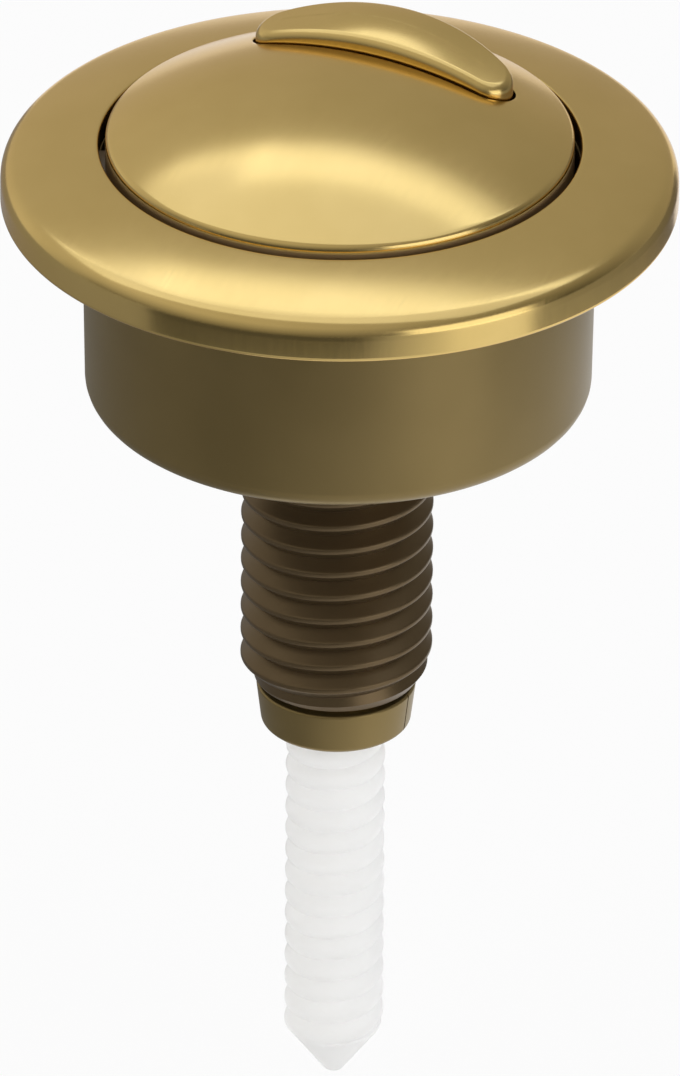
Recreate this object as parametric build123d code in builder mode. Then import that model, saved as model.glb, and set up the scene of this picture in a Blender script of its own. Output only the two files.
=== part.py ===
from build123d import *
import os
from math import cos, pi, radians, sin, sqrt, tan

# Dual-flush push button for a cistern lid, in millimetres.
# Z = 0 is the top of the lid, +Z is up, and the small button lies towards +Y.

# Bezel
bezel_diameter = 70.0
bezel_opening = 49.8
bezel_rise = 6.7  # inner edge above the lid
bezel_slope = 14.5  # degrees that the top face falls outwards, from edge to edge
bezel_face_radius = 60.0  # of the top face's slight crown
bezel_wall = 1.8
bezel_skirt_wall = 2.0
bezel_mouth_depth = 2.4
bezel_edge_round = 1.5
bezel_lip_round = 0.8
bezel_mouth_chamfer = 0.3
bezel_rib_count = 8
bezel_rib_thickness = 1.2
snap_bite = 0.6  # reach of the bezel's snap bead under the flange
snap_height = 0.7

# Housing: lid flange, cup and threaded shank
flange_thickness = 2.0
cup_depth = 22.3  # below the lid
cup_wall = 1.8
cup_floor = 2.0
cup_draft = 1.0  # degrees per side
cup_bottom_round = 2.2
cup_inner_chamfer = 1.0
shank_diameter = 20.0  # at the thread's crest
shank_length = 33.6
shank_lead_in_height = 2.2
shank_lead_in_share = 0.5  # of the shank's wall
spring_ring_height = 1.5
spring_ring_wall = 1.2

# Large button
button_gap = 0.7  # to the bezel
button_stand = 0.9  # rim above the bezel's inner edge
button_wall = 1.6
button_skirt_wall = 1.5
button_skirt_length = 10.6
button_rim_chamfer = 0.3
dome_height = 6.3
full_travel = 8.0
lug_count = 3
lug_width = 8.0
lug_height = 2.0
lug_reach = 0.45  # under the bezel's mouth
pusher_wall = 1.4

# Carrier inside the large button
carrier_plate = 1.6
hub_wall = 1.4
hub_floor = 1.6
tongue_count = 3
tongue_width = 8.0
tongue_height = 5.0
tongue_wall = 1.4
barb_reach = 0.8
barb_height = 1.2
barb_width = 5.0
carrier_rib_count = 6
carrier_rib_height = 2.4
carrier_rib_thickness = 1.2
drain_hole_diameter = 4.5

# Small half-moon button
half_front = 7.5  # straight edge from the button's axis
half_depth = 7.8  # straight edge to the middle of the curved back
half_arc_radius = 33.0
half_corner = 2.7
half_stand = 1.6  # straight edge above the dome
half_crown_radius = 38.0
half_crown_setback = 1.2  # crown's top in front of the curved back
half_edge_round = 0.8
half_wall = 1.5
half_gap = 0.25  # to the window in the dome
half_travel = 4.0
guide_wall = 1.2
guide_depth = 2.0  # window wall below the lowest part of the window

# Arm, screw and plunger
arm_plate = 2.0
arm_hub_diameter = 16.0
arm_neck_width = 12.0
arm_plug_height = 4.5
screw_diameter = 3.0
screw_length = 6.5
screw_head_diameter = 5.6
screw_head_height = 1.8
screw_head_chamfer = 0.6
plunger_wall = 1.3
plunger_head_rim = 2.8
plunger_head = 2.0
plunger_crown = 5.6  # solid top that takes the screw

# Collar and push rod
collar_gap = 0.8  # below the shank
collar_height = 4.7
collar_wall = 1.55
collar_taper = 7.0  # degrees per side
collar_socket = 3.2
collar_bottom_round = 0.7
collar_rim_chamfer = 0.25
rod_diameter = 10.4
rod_length = 75.0
rod_reach = 104.0  # point below the lid
rod_point_angle = 36.0  # degrees from the axis
rod_point_round = 1.5
rod_top_chamfer = 0.8

# Springs
main_wire = 1.2
main_turns = 5
plunger_wire = 0.9
plunger_turns = 5
wire_sides = 8
turn_steps = 16  # straight lengths in one turn of a spring

# Clearances
fit_clearance = 0.05  # pieces that are pressed or clipped together
rod_clearance = 0.1
running_clearance = 0.25
cup_clearance = 0.6
snap_clearance = 0.2
stop_clearance = 0.6
spring_clearance = 0.5
rim_clearance = 0.3
overlap = 0.4  # depth to which ribs and bosses run into their walls

# Bezel and cup radii
bezel_radius = bezel_diameter / 2
opening_radius = bezel_opening / 2
skirt_radius = bezel_radius - bezel_skirt_wall
flange_radius = skirt_radius - snap_clearance
flange_step_radius = skirt_radius - snap_bite - snap_clearance
button_radius = opening_radius - button_gap
button_inner_radius = button_radius - button_skirt_wall
cup_bore_radius = button_radius + cup_clearance
cup_radius = cup_bore_radius + cup_wall
lug_radius = opening_radius + lug_reach
groove_radius = lug_radius + running_clearance

# Radii from the rod outwards
rod_radius = rod_diameter / 2
plunger_bore_radius = rod_radius + running_clearance
plunger_radius = plunger_bore_radius + plunger_wall
shank_radius = shank_diameter / 2
shank_bore_radius = plunger_radius + running_clearance
shank_end_radius = shank_radius - shank_lead_in_share * (shank_radius - shank_bore_radius)
collar_radius = plunger_radius + fit_clearance + collar_wall
plunger_head_radius = plunger_radius + plunger_head_rim
hub_bore_radius = plunger_head_radius + running_clearance
hub_radius = hub_bore_radius + hub_wall
plunger_coil_radius = plunger_radius + spring_clearance + plunger_wire / 2
main_coil_radius = hub_radius + spring_clearance + main_wire / 2
spring_ring_radius = main_coil_radius + main_wire / 2 + spring_clearance
carrier_radius = button_radius - fit_clearance

# Heights, from the lid down and up
mouth_z = bezel_rise - bezel_mouth_depth
cup_rim_z = mouth_z - rim_clearance
flange_step_z = snap_height + snap_clearance
cup_floor_z = cup_floor - cup_depth
shank_end_z = -cup_depth - shank_length
button_rim_z = bezel_rise + button_stand
button_skirt_z = button_rim_z - button_skirt_length
carrier_z = button_skirt_z - carrier_plate
lug_z = mouth_z - lug_height
groove_z = lug_z - full_travel - stop_clearance
hub_z = cup_floor_z + full_travel + stop_clearance
hub_floor_z = hub_z + hub_floor
arm_z = button_skirt_z + half_travel + stop_clearance
arm_top_z = arm_z + arm_plate
plunger_head_z = arm_z - plunger_head
collar_z = shank_end_z - collar_gap
plunger_end_z = collar_z - collar_socket
barb_z = button_skirt_z + tongue_height - barb_height

# Dome and crown spheres
dome_radius = (button_radius**2 + dome_height**2) / (2 * dome_height)
dome_centre_z = button_rim_z + dome_height - dome_radius
dome_inner_radius = dome_radius - button_wall
dome_front_z = dome_centre_z + sqrt(dome_radius**2 - half_front**2)
half_back = half_front + half_depth
half_middle = half_front + half_depth / 2
half_arc_centre = half_back - half_arc_radius
half_crown_top = half_back - half_crown_setback
dome_back_z = dome_centre_z + sqrt(dome_inner_radius**2 - half_back**2)
guide_z = dome_back_z - guide_depth
crown_centre_z = dome_front_z + half_stand - sqrt(half_crown_radius**2 - (half_crown_top - half_front) ** 2)


def bezel_top(radius):
    """Height of the bezel's sloping top face."""
    return bezel_rise - (radius - opening_radius) * tan(radians(bezel_slope))


def bezel_underside(radius):
    """Height of the underside that runs parallel to the top face."""
    return bezel_top(radius) - bezel_wall / cos(radians(bezel_slope))


def cup_offset(z):
    """Amount by which the drafted cup wall has grown or shrunk at height z."""
    return z * tan(radians(cup_draft))


def radial_plane(angle):
    """Upright plane through the axis, with its X pointing outwards and its Y up."""
    turn = radians(angle)
    return Plane((0, 0, 0), x_dir=(cos(turn), sin(turn), 0), z_dir=(sin(turn), -cos(turn), 0))


def radial_planes(count, start=0.0):
    """Evenly spaced upright planes around the axis."""
    return [radial_plane(start + 360 * index / count) for index in range(count)]


def round_corner(section, corner, radius):
    """Fillet the corner of a section sketch that lies nearest to the given point."""
    fillet(section.vertices().sort_by_distance(corner)[0], radius)


def break_corner(section, corner, length):
    """Chamfer the corner of a section sketch that lies nearest to the given point."""
    chamfer(section.vertices().sort_by_distance(corner)[0], length)


def half_moon(margin=0.0):
    """Outline of the small button, grown by margin."""
    with BuildSketch(mode=Mode.PRIVATE) as outline:
        with Locations((0, half_arc_centre)):
            Circle(half_arc_radius)
        with Locations((0, half_front)):
            Rectangle(
                2 * half_arc_radius,
                2 * half_arc_radius,
                align=(Align.CENTER, Align.MIN),
                mode=Mode.INTERSECT,
            )
        fillet(outline.vertices(), half_corner)
        if margin != 0:
            offset(amount=margin)
    return outline.sketch


def coil_spring(bottom_z, top_z, coil_radius, wire_diameter, turns):
    """Wire in short straight lengths, wound right-handed between two seats."""
    step_count = turns * turn_steps
    start_z = bottom_z + wire_diameter / 2
    rise = (top_z - bottom_z - wire_diameter) / step_count
    points = []
    for step in range(step_count + 1):
        turn = 2 * pi * step / turn_steps
        points.append((coil_radius * cos(turn), coil_radius * sin(turn), start_z + rise * step))
    with BuildPart() as spring:
        with BuildLine() as centre_line:
            Polyline(*points)
        with BuildSketch(Plane(centre_line.line @ 0, z_dir=centre_line.line % 0)):
            RegularPolygon(wire_diameter / 2, wire_sides)
        sweep(transition=Transition.RIGHT)
    return spring


# Bezel: a thin cover ring with a snap bead inside its skirt and ribs that sit on the flange
ledge_radius = opening_radius + (bezel_underside(opening_radius) - mouth_z) / tan(radians(bezel_slope))
bezel_edge_z = bezel_top(bezel_radius)
rib_inner_radius = cup_radius + snap_clearance
with BuildPart() as bezel:
    with BuildSketch(Plane.XZ) as bezel_section:
        with BuildLine():
            face = RadiusArc((opening_radius, bezel_rise), (bezel_radius, bezel_edge_z), bezel_face_radius)
            Polyline(
                face @ 1,
                (bezel_radius, 0),
                (skirt_radius, 0),
                (skirt_radius - snap_bite, snap_height / 2),
                (skirt_radius, snap_height),
                (skirt_radius, bezel_underside(skirt_radius)),
                (ledge_radius, mouth_z),
                (opening_radius, mouth_z),
                face @ 0,
            )
        make_face()
        round_corner(bezel_section, (bezel_radius, bezel_edge_z), bezel_edge_round)
        break_corner(bezel_section, (opening_radius, bezel_rise), bezel_mouth_chamfer)
        round_corner(bezel_section, (bezel_radius, 0), bezel_lip_round)
    revolve(axis=Axis.Z)
    with BuildSketch(*radial_planes(bezel_rib_count)):
        with BuildLine():
            Polyline(
                (rib_inner_radius, flange_thickness),
                (skirt_radius + overlap, flange_thickness),
                (skirt_radius + overlap, bezel_underside(skirt_radius) + overlap),
                (ledge_radius, mouth_z + overlap),
                (rib_inner_radius, mouth_z + overlap),
                close=True,
            )
        make_face()
    extrude(amount=bezel_rib_thickness / 2, both=True)

# Housing: flange under the bezel, drafted cup, and the shank that the clamp nut runs on
with BuildPart() as housing:
    with BuildSketch(Plane.XZ) as housing_section:
        with BuildLine():
            Polyline(
                (shank_bore_radius, shank_end_z),
                (shank_end_radius, shank_end_z),
                (shank_radius, shank_end_z + shank_lead_in_height),
                (shank_radius, -cup_depth),
                (cup_radius + cup_offset(-cup_depth), -cup_depth),
                (cup_radius, 0),
                (flange_step_radius, 0),
                (flange_step_radius, flange_step_z),
                (flange_radius, flange_step_z),
                (flange_radius, flange_thickness),
                (cup_radius, flange_thickness),
                (cup_radius, cup_rim_z),
                (cup_bore_radius + cup_offset(cup_rim_z), cup_rim_z),
                (cup_bore_radius + cup_offset(cup_floor_z), cup_floor_z),
                (shank_bore_radius, cup_floor_z),
                close=True,
            )
        make_face()
        round_corner(housing_section, (cup_radius, -cup_depth), cup_bottom_round)
        break_corner(housing_section, (cup_bore_radius, cup_floor_z), cup_inner_chamfer)
    revolve(axis=Axis.Z)
    with BuildSketch(Plane.XY.offset(cup_floor_z)):
        Circle(spring_ring_radius + spring_ring_wall)
        Circle(spring_ring_radius, mode=Mode.SUBTRACT)
    extrude(amount=spring_ring_height)
    with BuildSketch(Plane.XY.offset(groove_z)):
        with PolarLocations(0, lug_count, start_angle=90):
            Rectangle(
                groove_radius,
                lug_width + 2 * running_clearance,
                align=(Align.MIN, Align.CENTER),
            )
        Circle(groove_radius, mode=Mode.INTERSECT)
    extrude(amount=cup_rim_z - groove_z, mode=Mode.SUBTRACT)

# Space inside the large button, around its pusher and the guide wall of its window
with BuildPart() as button_cavity:
    with BuildSketch(Plane.XZ):
        with Locations((0, dome_centre_z)):
            Circle(dome_inner_radius)
        with Locations((0, button_skirt_z)):
            Rectangle(
                button_inner_radius,
                dome_radius,
                align=(Align.MIN, Align.MIN),
                mode=Mode.INTERSECT,
            )
    revolve(axis=Axis.Z)
    pusher_radius = screw_head_diameter / 2 + stop_clearance + pusher_wall
    with BuildSketch(Plane.XY.offset(arm_top_z)):
        Circle(pusher_radius)
        Circle(pusher_radius - pusher_wall, mode=Mode.SUBTRACT)
    extrude(amount=dome_radius, mode=Mode.SUBTRACT)
    with BuildSketch(Plane.XY.offset(guide_z)):
        add(half_moon(half_gap + guide_wall))
        add(half_moon(half_gap), mode=Mode.SUBTRACT)
    extrude(amount=dome_radius, mode=Mode.SUBTRACT)

# Large button: domed cap with a window, retaining lugs and slots for the carrier's barbs
with BuildPart() as full_flush_button:
    with BuildSketch(Plane.XZ) as button_section:
        with Locations((0, dome_centre_z)):
            Circle(dome_radius)
        with Locations((0, button_skirt_z)):
            Rectangle(
                button_radius,
                dome_radius,
                align=(Align.MIN, Align.MIN),
                mode=Mode.INTERSECT,
            )
        break_corner(button_section, (button_radius, button_rim_z), button_rim_chamfer)
    revolve(axis=Axis.Z)
    add(button_cavity.part, mode=Mode.SUBTRACT)
    with BuildSketch(Plane.XY.offset(guide_z)):
        add(half_moon(half_gap))
    extrude(amount=dome_radius, mode=Mode.SUBTRACT)
    with BuildSketch(Plane.XY.offset(lug_z)):
        with PolarLocations(0, lug_count, start_angle=90):
            Rectangle(lug_radius, lug_width, align=(Align.MIN, Align.CENTER))
        Circle(lug_radius, mode=Mode.INTERSECT)
        Circle(button_radius - overlap, mode=Mode.SUBTRACT)
    extrude(amount=lug_height)
    with BuildSketch(Plane.XY.offset(barb_z - snap_clearance)):
        with PolarLocations(0, tongue_count, start_angle=-90):
            Rectangle(
                2 * button_radius,
                barb_width + 2 * snap_clearance,
                align=(Align.MIN, Align.CENTER),
            )
        Circle(button_inner_radius - overlap, mode=Mode.SUBTRACT)
    extrude(amount=barb_height + 2 * snap_clearance, mode=Mode.SUBTRACT)

# Carrier: plate under the skirt, hub for the small spring, and tongues that clip into the skirt
tongue_radius = button_inner_radius - fit_clearance
rib_start_radius = spring_ring_radius + spring_ring_wall
with BuildPart() as full_flush_carrier:
    with BuildSketch(Plane.XZ):
        with BuildLine():
            Polyline(
                (shank_bore_radius, hub_z),
                (hub_radius, hub_z),
                (hub_radius, carrier_z),
                (carrier_radius, carrier_z),
                (carrier_radius, button_skirt_z),
                (hub_bore_radius, button_skirt_z),
                (hub_bore_radius, hub_floor_z),
                (shank_bore_radius, hub_floor_z),
                close=True,
            )
        make_face()
    revolve(axis=Axis.Z)
    with BuildSketch(Plane.XY.offset(button_skirt_z)):
        with PolarLocations(0, tongue_count, start_angle=-90):
            Rectangle(tongue_radius, tongue_width, align=(Align.MIN, Align.CENTER))
        Circle(tongue_radius, mode=Mode.INTERSECT)
        Circle(tongue_radius - tongue_wall, mode=Mode.SUBTRACT)
    extrude(amount=tongue_height)
    with BuildSketch(*radial_planes(tongue_count, start=-90)):
        with BuildLine():
            Polyline(
                (tongue_radius - overlap, barb_z),
                (tongue_radius + barb_reach, barb_z),
                (tongue_radius - overlap, barb_z + barb_height),
                close=True,
            )
        make_face()
    extrude(amount=barb_width / 2, both=True)
    with BuildSketch(*radial_planes(carrier_rib_count)):
        with BuildLine():
            Polyline(
                (rib_start_radius, carrier_z + overlap),
                (rib_start_radius, carrier_z - carrier_rib_height),
                (carrier_radius - carrier_rib_height, carrier_z - carrier_rib_height),
                (carrier_radius, carrier_z),
                (carrier_radius, carrier_z + overlap),
                close=True,
            )
        make_face()
    extrude(amount=carrier_rib_thickness / 2, both=True)
    with BuildSketch(Plane.XY.offset(button_skirt_z)):
        with PolarLocations((rib_start_radius + carrier_radius) / 2, carrier_rib_count, start_angle=30):
            Circle(drain_hole_diameter / 2)
    extrude(amount=-carrier_plate, mode=Mode.SUBTRACT)

# Space inside the small button
with BuildPart() as half_cavity:
    with BuildSketch(Plane.XY.offset(arm_top_z)):
        add(half_moon(-half_wall))
    extrude(amount=half_crown_radius)
    with Locations((0, half_crown_top, crown_centre_z)):
        Sphere(half_crown_radius - half_wall, mode=Mode.INTERSECT)

# Small button: half-moon cap with a crowned top
with BuildPart() as half_flush_button:
    with BuildSketch(Plane.XY.offset(arm_top_z)):
        add(half_moon())
    extrude(amount=half_crown_radius)
    with Locations((0, half_crown_top, crown_centre_z)):
        Sphere(half_crown_radius, mode=Mode.INTERSECT)
    crown = half_flush_button.faces().sort_by(Axis.Z)[-1]
    fillet(crown.edges(), half_edge_round)
    add(half_cavity.part, mode=Mode.SUBTRACT)

# Arm: ledge and plug that carry the small button, and a neck to the hub on the plunger's head
with BuildPart() as half_flush_arm:
    with BuildSketch(Plane.XY.offset(arm_z)):
        add(half_moon())
        Circle(arm_hub_diameter / 2)
        Rectangle(arm_neck_width, half_middle, align=(Align.CENTER, Align.MIN))
        Circle(screw_diameter / 2 + fit_clearance, mode=Mode.SUBTRACT)
    extrude(amount=arm_plate)
    with BuildSketch(Plane.XY.offset(arm_top_z)):
        add(half_moon(-half_wall - fit_clearance))
    extrude(amount=arm_plug_height)

# Screw through the arm's hub into the plunger
with BuildPart() as arm_screw:
    with BuildSketch(Plane.XZ) as screw_section:
        with BuildLine():
            Polyline(
                (0, arm_top_z + screw_head_height),
                (screw_head_diameter / 2, arm_top_z + screw_head_height),
                (screw_head_diameter / 2, arm_top_z),
                (screw_diameter / 2, arm_top_z),
                (screw_diameter / 2, arm_top_z - screw_length),
                (0, arm_top_z - screw_length),
                close=True,
            )
        make_face()
        screw_rim = (screw_head_diameter / 2, arm_top_z + screw_head_height)
        break_corner(screw_section, screw_rim, screw_head_chamfer)
    revolve(axis=Axis.Z)

# Plunger: flanged tube that runs in the shank and holds the rod
with BuildPart() as plunger:
    with BuildSketch(Plane.XZ):
        with BuildLine():
            Polyline(
                (0, arm_z),
                (plunger_head_radius, arm_z),
                (plunger_head_radius, plunger_head_z),
                (plunger_radius, plunger_head_z),
                (plunger_radius, plunger_end_z),
                (plunger_bore_radius, plunger_end_z),
                (plunger_bore_radius, arm_z - plunger_crown),
                (0, arm_z - plunger_crown),
                close=True,
            )
        make_face()
    revolve(axis=Axis.Z)
    with BuildSketch(Plane.XY.offset(arm_z)):
        Circle(screw_diameter / 2 + fit_clearance)
    extrude(amount=-(screw_length - arm_plate + fit_clearance), mode=Mode.SUBTRACT)

# Collar: tapered ring on the end of the plunger, with the hole that the rod runs through
collar_end_z = collar_z - collar_height
collar_end_radius = collar_radius - collar_height * tan(radians(collar_taper))
collar_bore_radius = rod_radius + rod_clearance
with BuildPart() as collar:
    with BuildSketch(Plane.XZ) as collar_section:
        with BuildLine():
            Polyline(
                (plunger_radius + fit_clearance, collar_z),
                (collar_radius, collar_z),
                (collar_end_radius, collar_end_z),
                (collar_bore_radius, collar_end_z),
                (collar_bore_radius, plunger_end_z),
                (plunger_radius + fit_clearance, plunger_end_z),
                close=True,
            )
        make_face()
        break_corner(collar_section, (collar_radius, collar_z), collar_rim_chamfer)
        round_corner(collar_section, (collar_end_radius, collar_end_z), collar_bottom_round)
    revolve(axis=Axis.Z)

# Push rod: full thread diameter, blunt conical point below and a chamfer above
rod_top_z = rod_length - rod_reach
point_angle = radians(rod_point_angle)
point_apex_z = -rod_reach - rod_point_round * (1 / sin(point_angle) - 1)
point_base_z = point_apex_z + rod_radius / tan(point_angle)
point_tangent = (
    rod_point_round * cos(point_angle),
    -rod_reach + rod_point_round * (1 - sin(point_angle)),
)
with BuildPart() as push_rod:
    with BuildSketch(Plane.XZ):
        with BuildLine():
            tip = RadiusArc((0, -rod_reach), point_tangent, -rod_point_round)
            Polyline(
                tip @ 1,
                (rod_radius, point_base_z),
                (rod_radius, rod_top_z - rod_top_chamfer),
                (rod_radius - rod_top_chamfer, rod_top_z),
                (0, rod_top_z),
                tip @ 0,
            )
        make_face()
    revolve(axis=Axis.Z)

# Return springs
main_spring = coil_spring(cup_floor_z, carrier_z, main_coil_radius, main_wire, main_turns)
plunger_spring = coil_spring(
    hub_floor_z, plunger_head_z, plunger_coil_radius, plunger_wire, plunger_turns
)

os.makedirs("parts", exist_ok=True)
bezel.part.label = "bezel"
export_step(bezel.part, "parts/bezel.step")
housing.part.label = "housing"
export_step(housing.part, "parts/housing.step")
full_flush_button.part.label = "full_flush_button"
export_step(full_flush_button.part, "parts/full_flush_button.step")
full_flush_carrier.part.label = "full_flush_carrier"
export_step(full_flush_carrier.part, "parts/full_flush_carrier.step")
half_flush_button.part.label = "half_flush_button"
export_step(half_flush_button.part, "parts/half_flush_button.step")
half_flush_arm.part.label = "half_flush_arm"
export_step(half_flush_arm.part, "parts/half_flush_arm.step")
arm_screw.part.label = "arm_screw"
export_step(arm_screw.part, "parts/arm_screw.step")
plunger.part.label = "plunger"
export_step(plunger.part, "parts/plunger.step")
collar.part.label = "collar"
export_step(collar.part, "parts/collar.step")
push_rod.part.label = "push_rod"
export_step(push_rod.part, "parts/push_rod.step")
main_spring.part.label = "main_spring"
export_step(main_spring.part, "parts/main_spring.step")
plunger_spring.part.label = "plunger_spring"
export_step(plunger_spring.part, "parts/plunger_spring.step")
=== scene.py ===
# %% [markdown]
# # A dual-flush push button, dressed for a studio picture
#
# The CAD model already gives every piece of this cistern button its size and place. This lesson loads it
# as a fixed frame, then adds what a drawing leaves out: rounded edges that catch the light, moulded
# threads, wound springs, and finishes that behave like satin brass and bronze-coloured plastic.

# %% Load the CAD frame
from math import asin, atan2, cos, pi, radians, sin, sqrt, tan

import bmesh
import bpy
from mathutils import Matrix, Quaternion, Vector


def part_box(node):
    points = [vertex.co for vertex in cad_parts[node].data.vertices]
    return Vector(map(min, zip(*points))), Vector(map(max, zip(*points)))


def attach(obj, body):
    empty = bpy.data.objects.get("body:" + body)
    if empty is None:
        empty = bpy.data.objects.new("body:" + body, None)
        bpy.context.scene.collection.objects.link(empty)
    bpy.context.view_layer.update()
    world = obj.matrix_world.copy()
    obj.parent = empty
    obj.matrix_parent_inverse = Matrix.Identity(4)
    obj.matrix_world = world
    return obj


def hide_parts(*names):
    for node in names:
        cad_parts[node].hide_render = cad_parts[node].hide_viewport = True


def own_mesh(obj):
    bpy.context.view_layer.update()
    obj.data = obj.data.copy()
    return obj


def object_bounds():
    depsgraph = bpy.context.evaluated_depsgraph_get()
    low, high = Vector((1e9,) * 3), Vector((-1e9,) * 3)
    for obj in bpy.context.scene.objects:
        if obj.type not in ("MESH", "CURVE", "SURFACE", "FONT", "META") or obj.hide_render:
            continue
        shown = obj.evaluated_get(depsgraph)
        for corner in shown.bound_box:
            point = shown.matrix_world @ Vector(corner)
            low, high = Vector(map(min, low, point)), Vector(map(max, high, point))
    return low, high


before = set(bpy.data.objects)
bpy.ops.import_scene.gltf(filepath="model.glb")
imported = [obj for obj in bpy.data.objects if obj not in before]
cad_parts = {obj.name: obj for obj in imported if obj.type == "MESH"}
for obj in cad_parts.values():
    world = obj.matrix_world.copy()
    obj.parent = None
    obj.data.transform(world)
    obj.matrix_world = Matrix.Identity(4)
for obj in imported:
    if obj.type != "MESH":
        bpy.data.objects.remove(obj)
MM = 0.001
cad_low, cad_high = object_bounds()
print("height of the part:", round((cad_high.z - cad_low.z) / MM, 1), "mm")

# %% [markdown]
# ## The camera
#
# The photograph was taken from about 29 degrees above, through a long lens, so the near and far sides
# of the bezel look almost equally large. A camera could be placed by eye, but the scale of the picture
# gives the lens: how many pixels one millimetre covers, times the distance, is the focal length in
# pixels. The small roll repeats the slight lean of the part in the picture.

# %% Place the camera
IMAGE_HEIGHT = 1076  # pixels, of an image that is 680 wide
PIXELS_PER_MM = 9.622
SENSOR_MM = 36.0  # along the image's long side
VIEW_AZIMUTH = radians(26.15)
VIEW_ELEVATION = radians(29.3)
VIEW_ROLL = radians(0.42)
CAMERA_DISTANCE = 2.5
AIM_HEIGHT = -39.97 * MM
AIM_SHIFT = 0.3 * MM  # to the right
UP = Vector((0, 0, 1))

to_right = Vector((cos(VIEW_AZIMUTH), sin(VIEW_AZIMUTH), 0))
to_front = Vector((sin(VIEW_AZIMUTH), -cos(VIEW_AZIMUTH), 0))
to_camera = to_front * cos(VIEW_ELEVATION) + UP * sin(VIEW_ELEVATION)
aim = UP * AIM_HEIGHT + to_right * AIM_SHIFT

camera = bpy.data.objects.new("camera", bpy.data.cameras.new("camera"))
camera.data.lens = SENSOR_MM * PIXELS_PER_MM * CAMERA_DISTANCE / MM / IMAGE_HEIGHT
camera.data.sensor_width = SENSOR_MM
camera.data.clip_start = 0.01
camera.data.clip_end = 50
camera.location = aim + to_camera * CAMERA_DISTANCE
camera.rotation_mode = "QUATERNION"
camera.rotation_quaternion = to_camera.to_track_quat("Z", "Y") @ Quaternion(UP, VIEW_ROLL)
bpy.context.scene.collection.objects.link(camera)
bpy.context.scene.camera = camera
bpy.context.scene.view_settings.view_transform = "Standard"
print("lens:", round(camera.data.lens), "mm at", CAMERA_DISTANCE, "m")

# %% [markdown]
# ## Lamps for a mirror
#
# Metal shows what stands around it, so the light is built for its reflections. A wide soft box hangs flat
# over the part, and two strips along its back edge make the bright field on the dome brightest where it
# ends. Each edge is written as a slope, metres sideways for each metre up, because that is what a mirror
# at the part sees. An upright box in front on the right lights the bezel's wall there. The two fills are
# for the white rod and are hidden from mirror rays. The ceiling's lamps are a little cooler than the
# room, which takes the orange out of the brightest brass.

# %% Helpers for lamps
CEILING_COLOUR = (0.92, 1.0, 1.2)


def soft_box(name, place, target, width, height, radiance):
    """Rectangular lamp of an even brightness, turned towards a point."""
    lamp = bpy.data.lights.new(name, "AREA")
    lamp.shape = "RECTANGLE"
    lamp.size = width
    lamp.size_y = height
    lamp.energy = radiance * pi * width * height
    box = bpy.data.objects.new(name, lamp)
    box.location = place
    box.rotation_mode = "QUATERNION"
    box.rotation_quaternion = (place - target).to_track_quat("Z", "Y")
    bpy.context.scene.collection.objects.link(box)
    return box


def around(turn, distance, height):
    """Point at a turn in degrees to the right of the camera's side, seen from above."""
    direction = to_front * cos(radians(turn)) + to_right * sin(radians(turn))
    return direction * distance + Vector((0, 0, height))


def ceiling_box(name, ceiling, turn, left, right, near, far, radiance):
    """Soft box flat over the part at a height, from the slopes to its left, right, near and far edges."""
    turned = Quaternion(UP, radians(turn))
    below = turned @ Vector((left + right, near + far, 0)) * ceiling / 2
    above = below + Vector((0, 0, ceiling))
    box = soft_box(name, above, below, (right - left) * ceiling, (far - near) * ceiling, radiance)
    box.rotation_quaternion = turned
    box.data.color = CEILING_COLOUR


# %% Hang the lamps
LAMP_DISTANCE = 1.3
ceiling_box("over_box", ceiling=0.62, turn=4, left=-1.1, right=0.95, near=-0.3, far=0.56, radiance=0.5)
ceiling_box("edge_strip", ceiling=0.61, turn=10, left=-0.5, right=0.95, near=0.36, far=0.65, radiance=0.62)
ceiling_box("edge_strip_left", ceiling=0.6, turn=2, left=-1.0, right=-0.5, near=0.4, far=0.6, radiance=0.4)
bezel_place = Vector((0, 0, 0))
soft_box("right_box", around(43, LAMP_DISTANCE, 0.2), bezel_place, width=1.0, height=0.6, radiance=1.3)
shank_place = Vector((0, 0, -0.05))
for name, turn in (("right_fill", 60), ("left_fill", -60)):
    fill = soft_box(name, around(turn, LAMP_DISTANCE, 0.1), shank_place, width=1.0, height=0.7, radiance=3.7)
    fill.visible_glossy = False

# %% [markdown]
# ## The room
#
# Between the lamps a mirror sees the room itself. An even grey would look dead, so the world shader makes
# the left side brighter than the right and lifts everything a little towards the horizon. On the
# camera's side it runs from light above to dark at the horizon, which is what the bezel's rounded edge
# and the small button's front show. A few sums on the direction of the ray are enough: how far it points
# to the right, to the front, and up. One helper makes every shader node in this lesson: it sets each input
# to a value, or links it to the output of another node.

# %% Helpers for shader nodes
def set_inputs(node, inputs):
    """Set each input of a shader node to a value, or link it to another node's output."""
    for key, value in inputs.items():
        if isinstance(value, bpy.types.NodeSocket):
            node.id_data.links.new(value, node.inputs[key])
        else:
            node.inputs[key].default_value = value


def add_node(tree, kind, inputs, **settings):
    """New shader node with its settings and inputs."""
    node = tree.nodes.new(kind)
    for setting, value in settings.items():
        setattr(node, setting, value)
    set_inputs(node, inputs)
    return node


def product(tree, first, second):
    """Product of two outputs, or of an output and a value."""
    return add_node(tree, "ShaderNodeMath", {0: first, 1: second}, operation="MULTIPLY").outputs[0]


# %% Start the room's shader
world = bpy.data.worlds.new("studio")
world.use_nodes = True
bpy.context.scene.world = world
room = world.node_tree
ray = add_node(room, "ShaderNodeTexCoord", {}).outputs["Generated"]


def ray_level(axis, start, end, start_level, end_level):
    """Level that runs between two values as the ray's share along an axis runs from start to end."""
    along = add_node(room, "ShaderNodeVectorMath", {0: ray, 1: axis}, operation="DOT_PRODUCT")
    ends = {"From Min": start, "From Max": end, "To Min": start_level, "To Max": end_level}
    level = add_node(room, "ShaderNodeMapRange", {"Value": along.outputs["Value"], **ends})
    return level.outputs["Result"]


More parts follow.
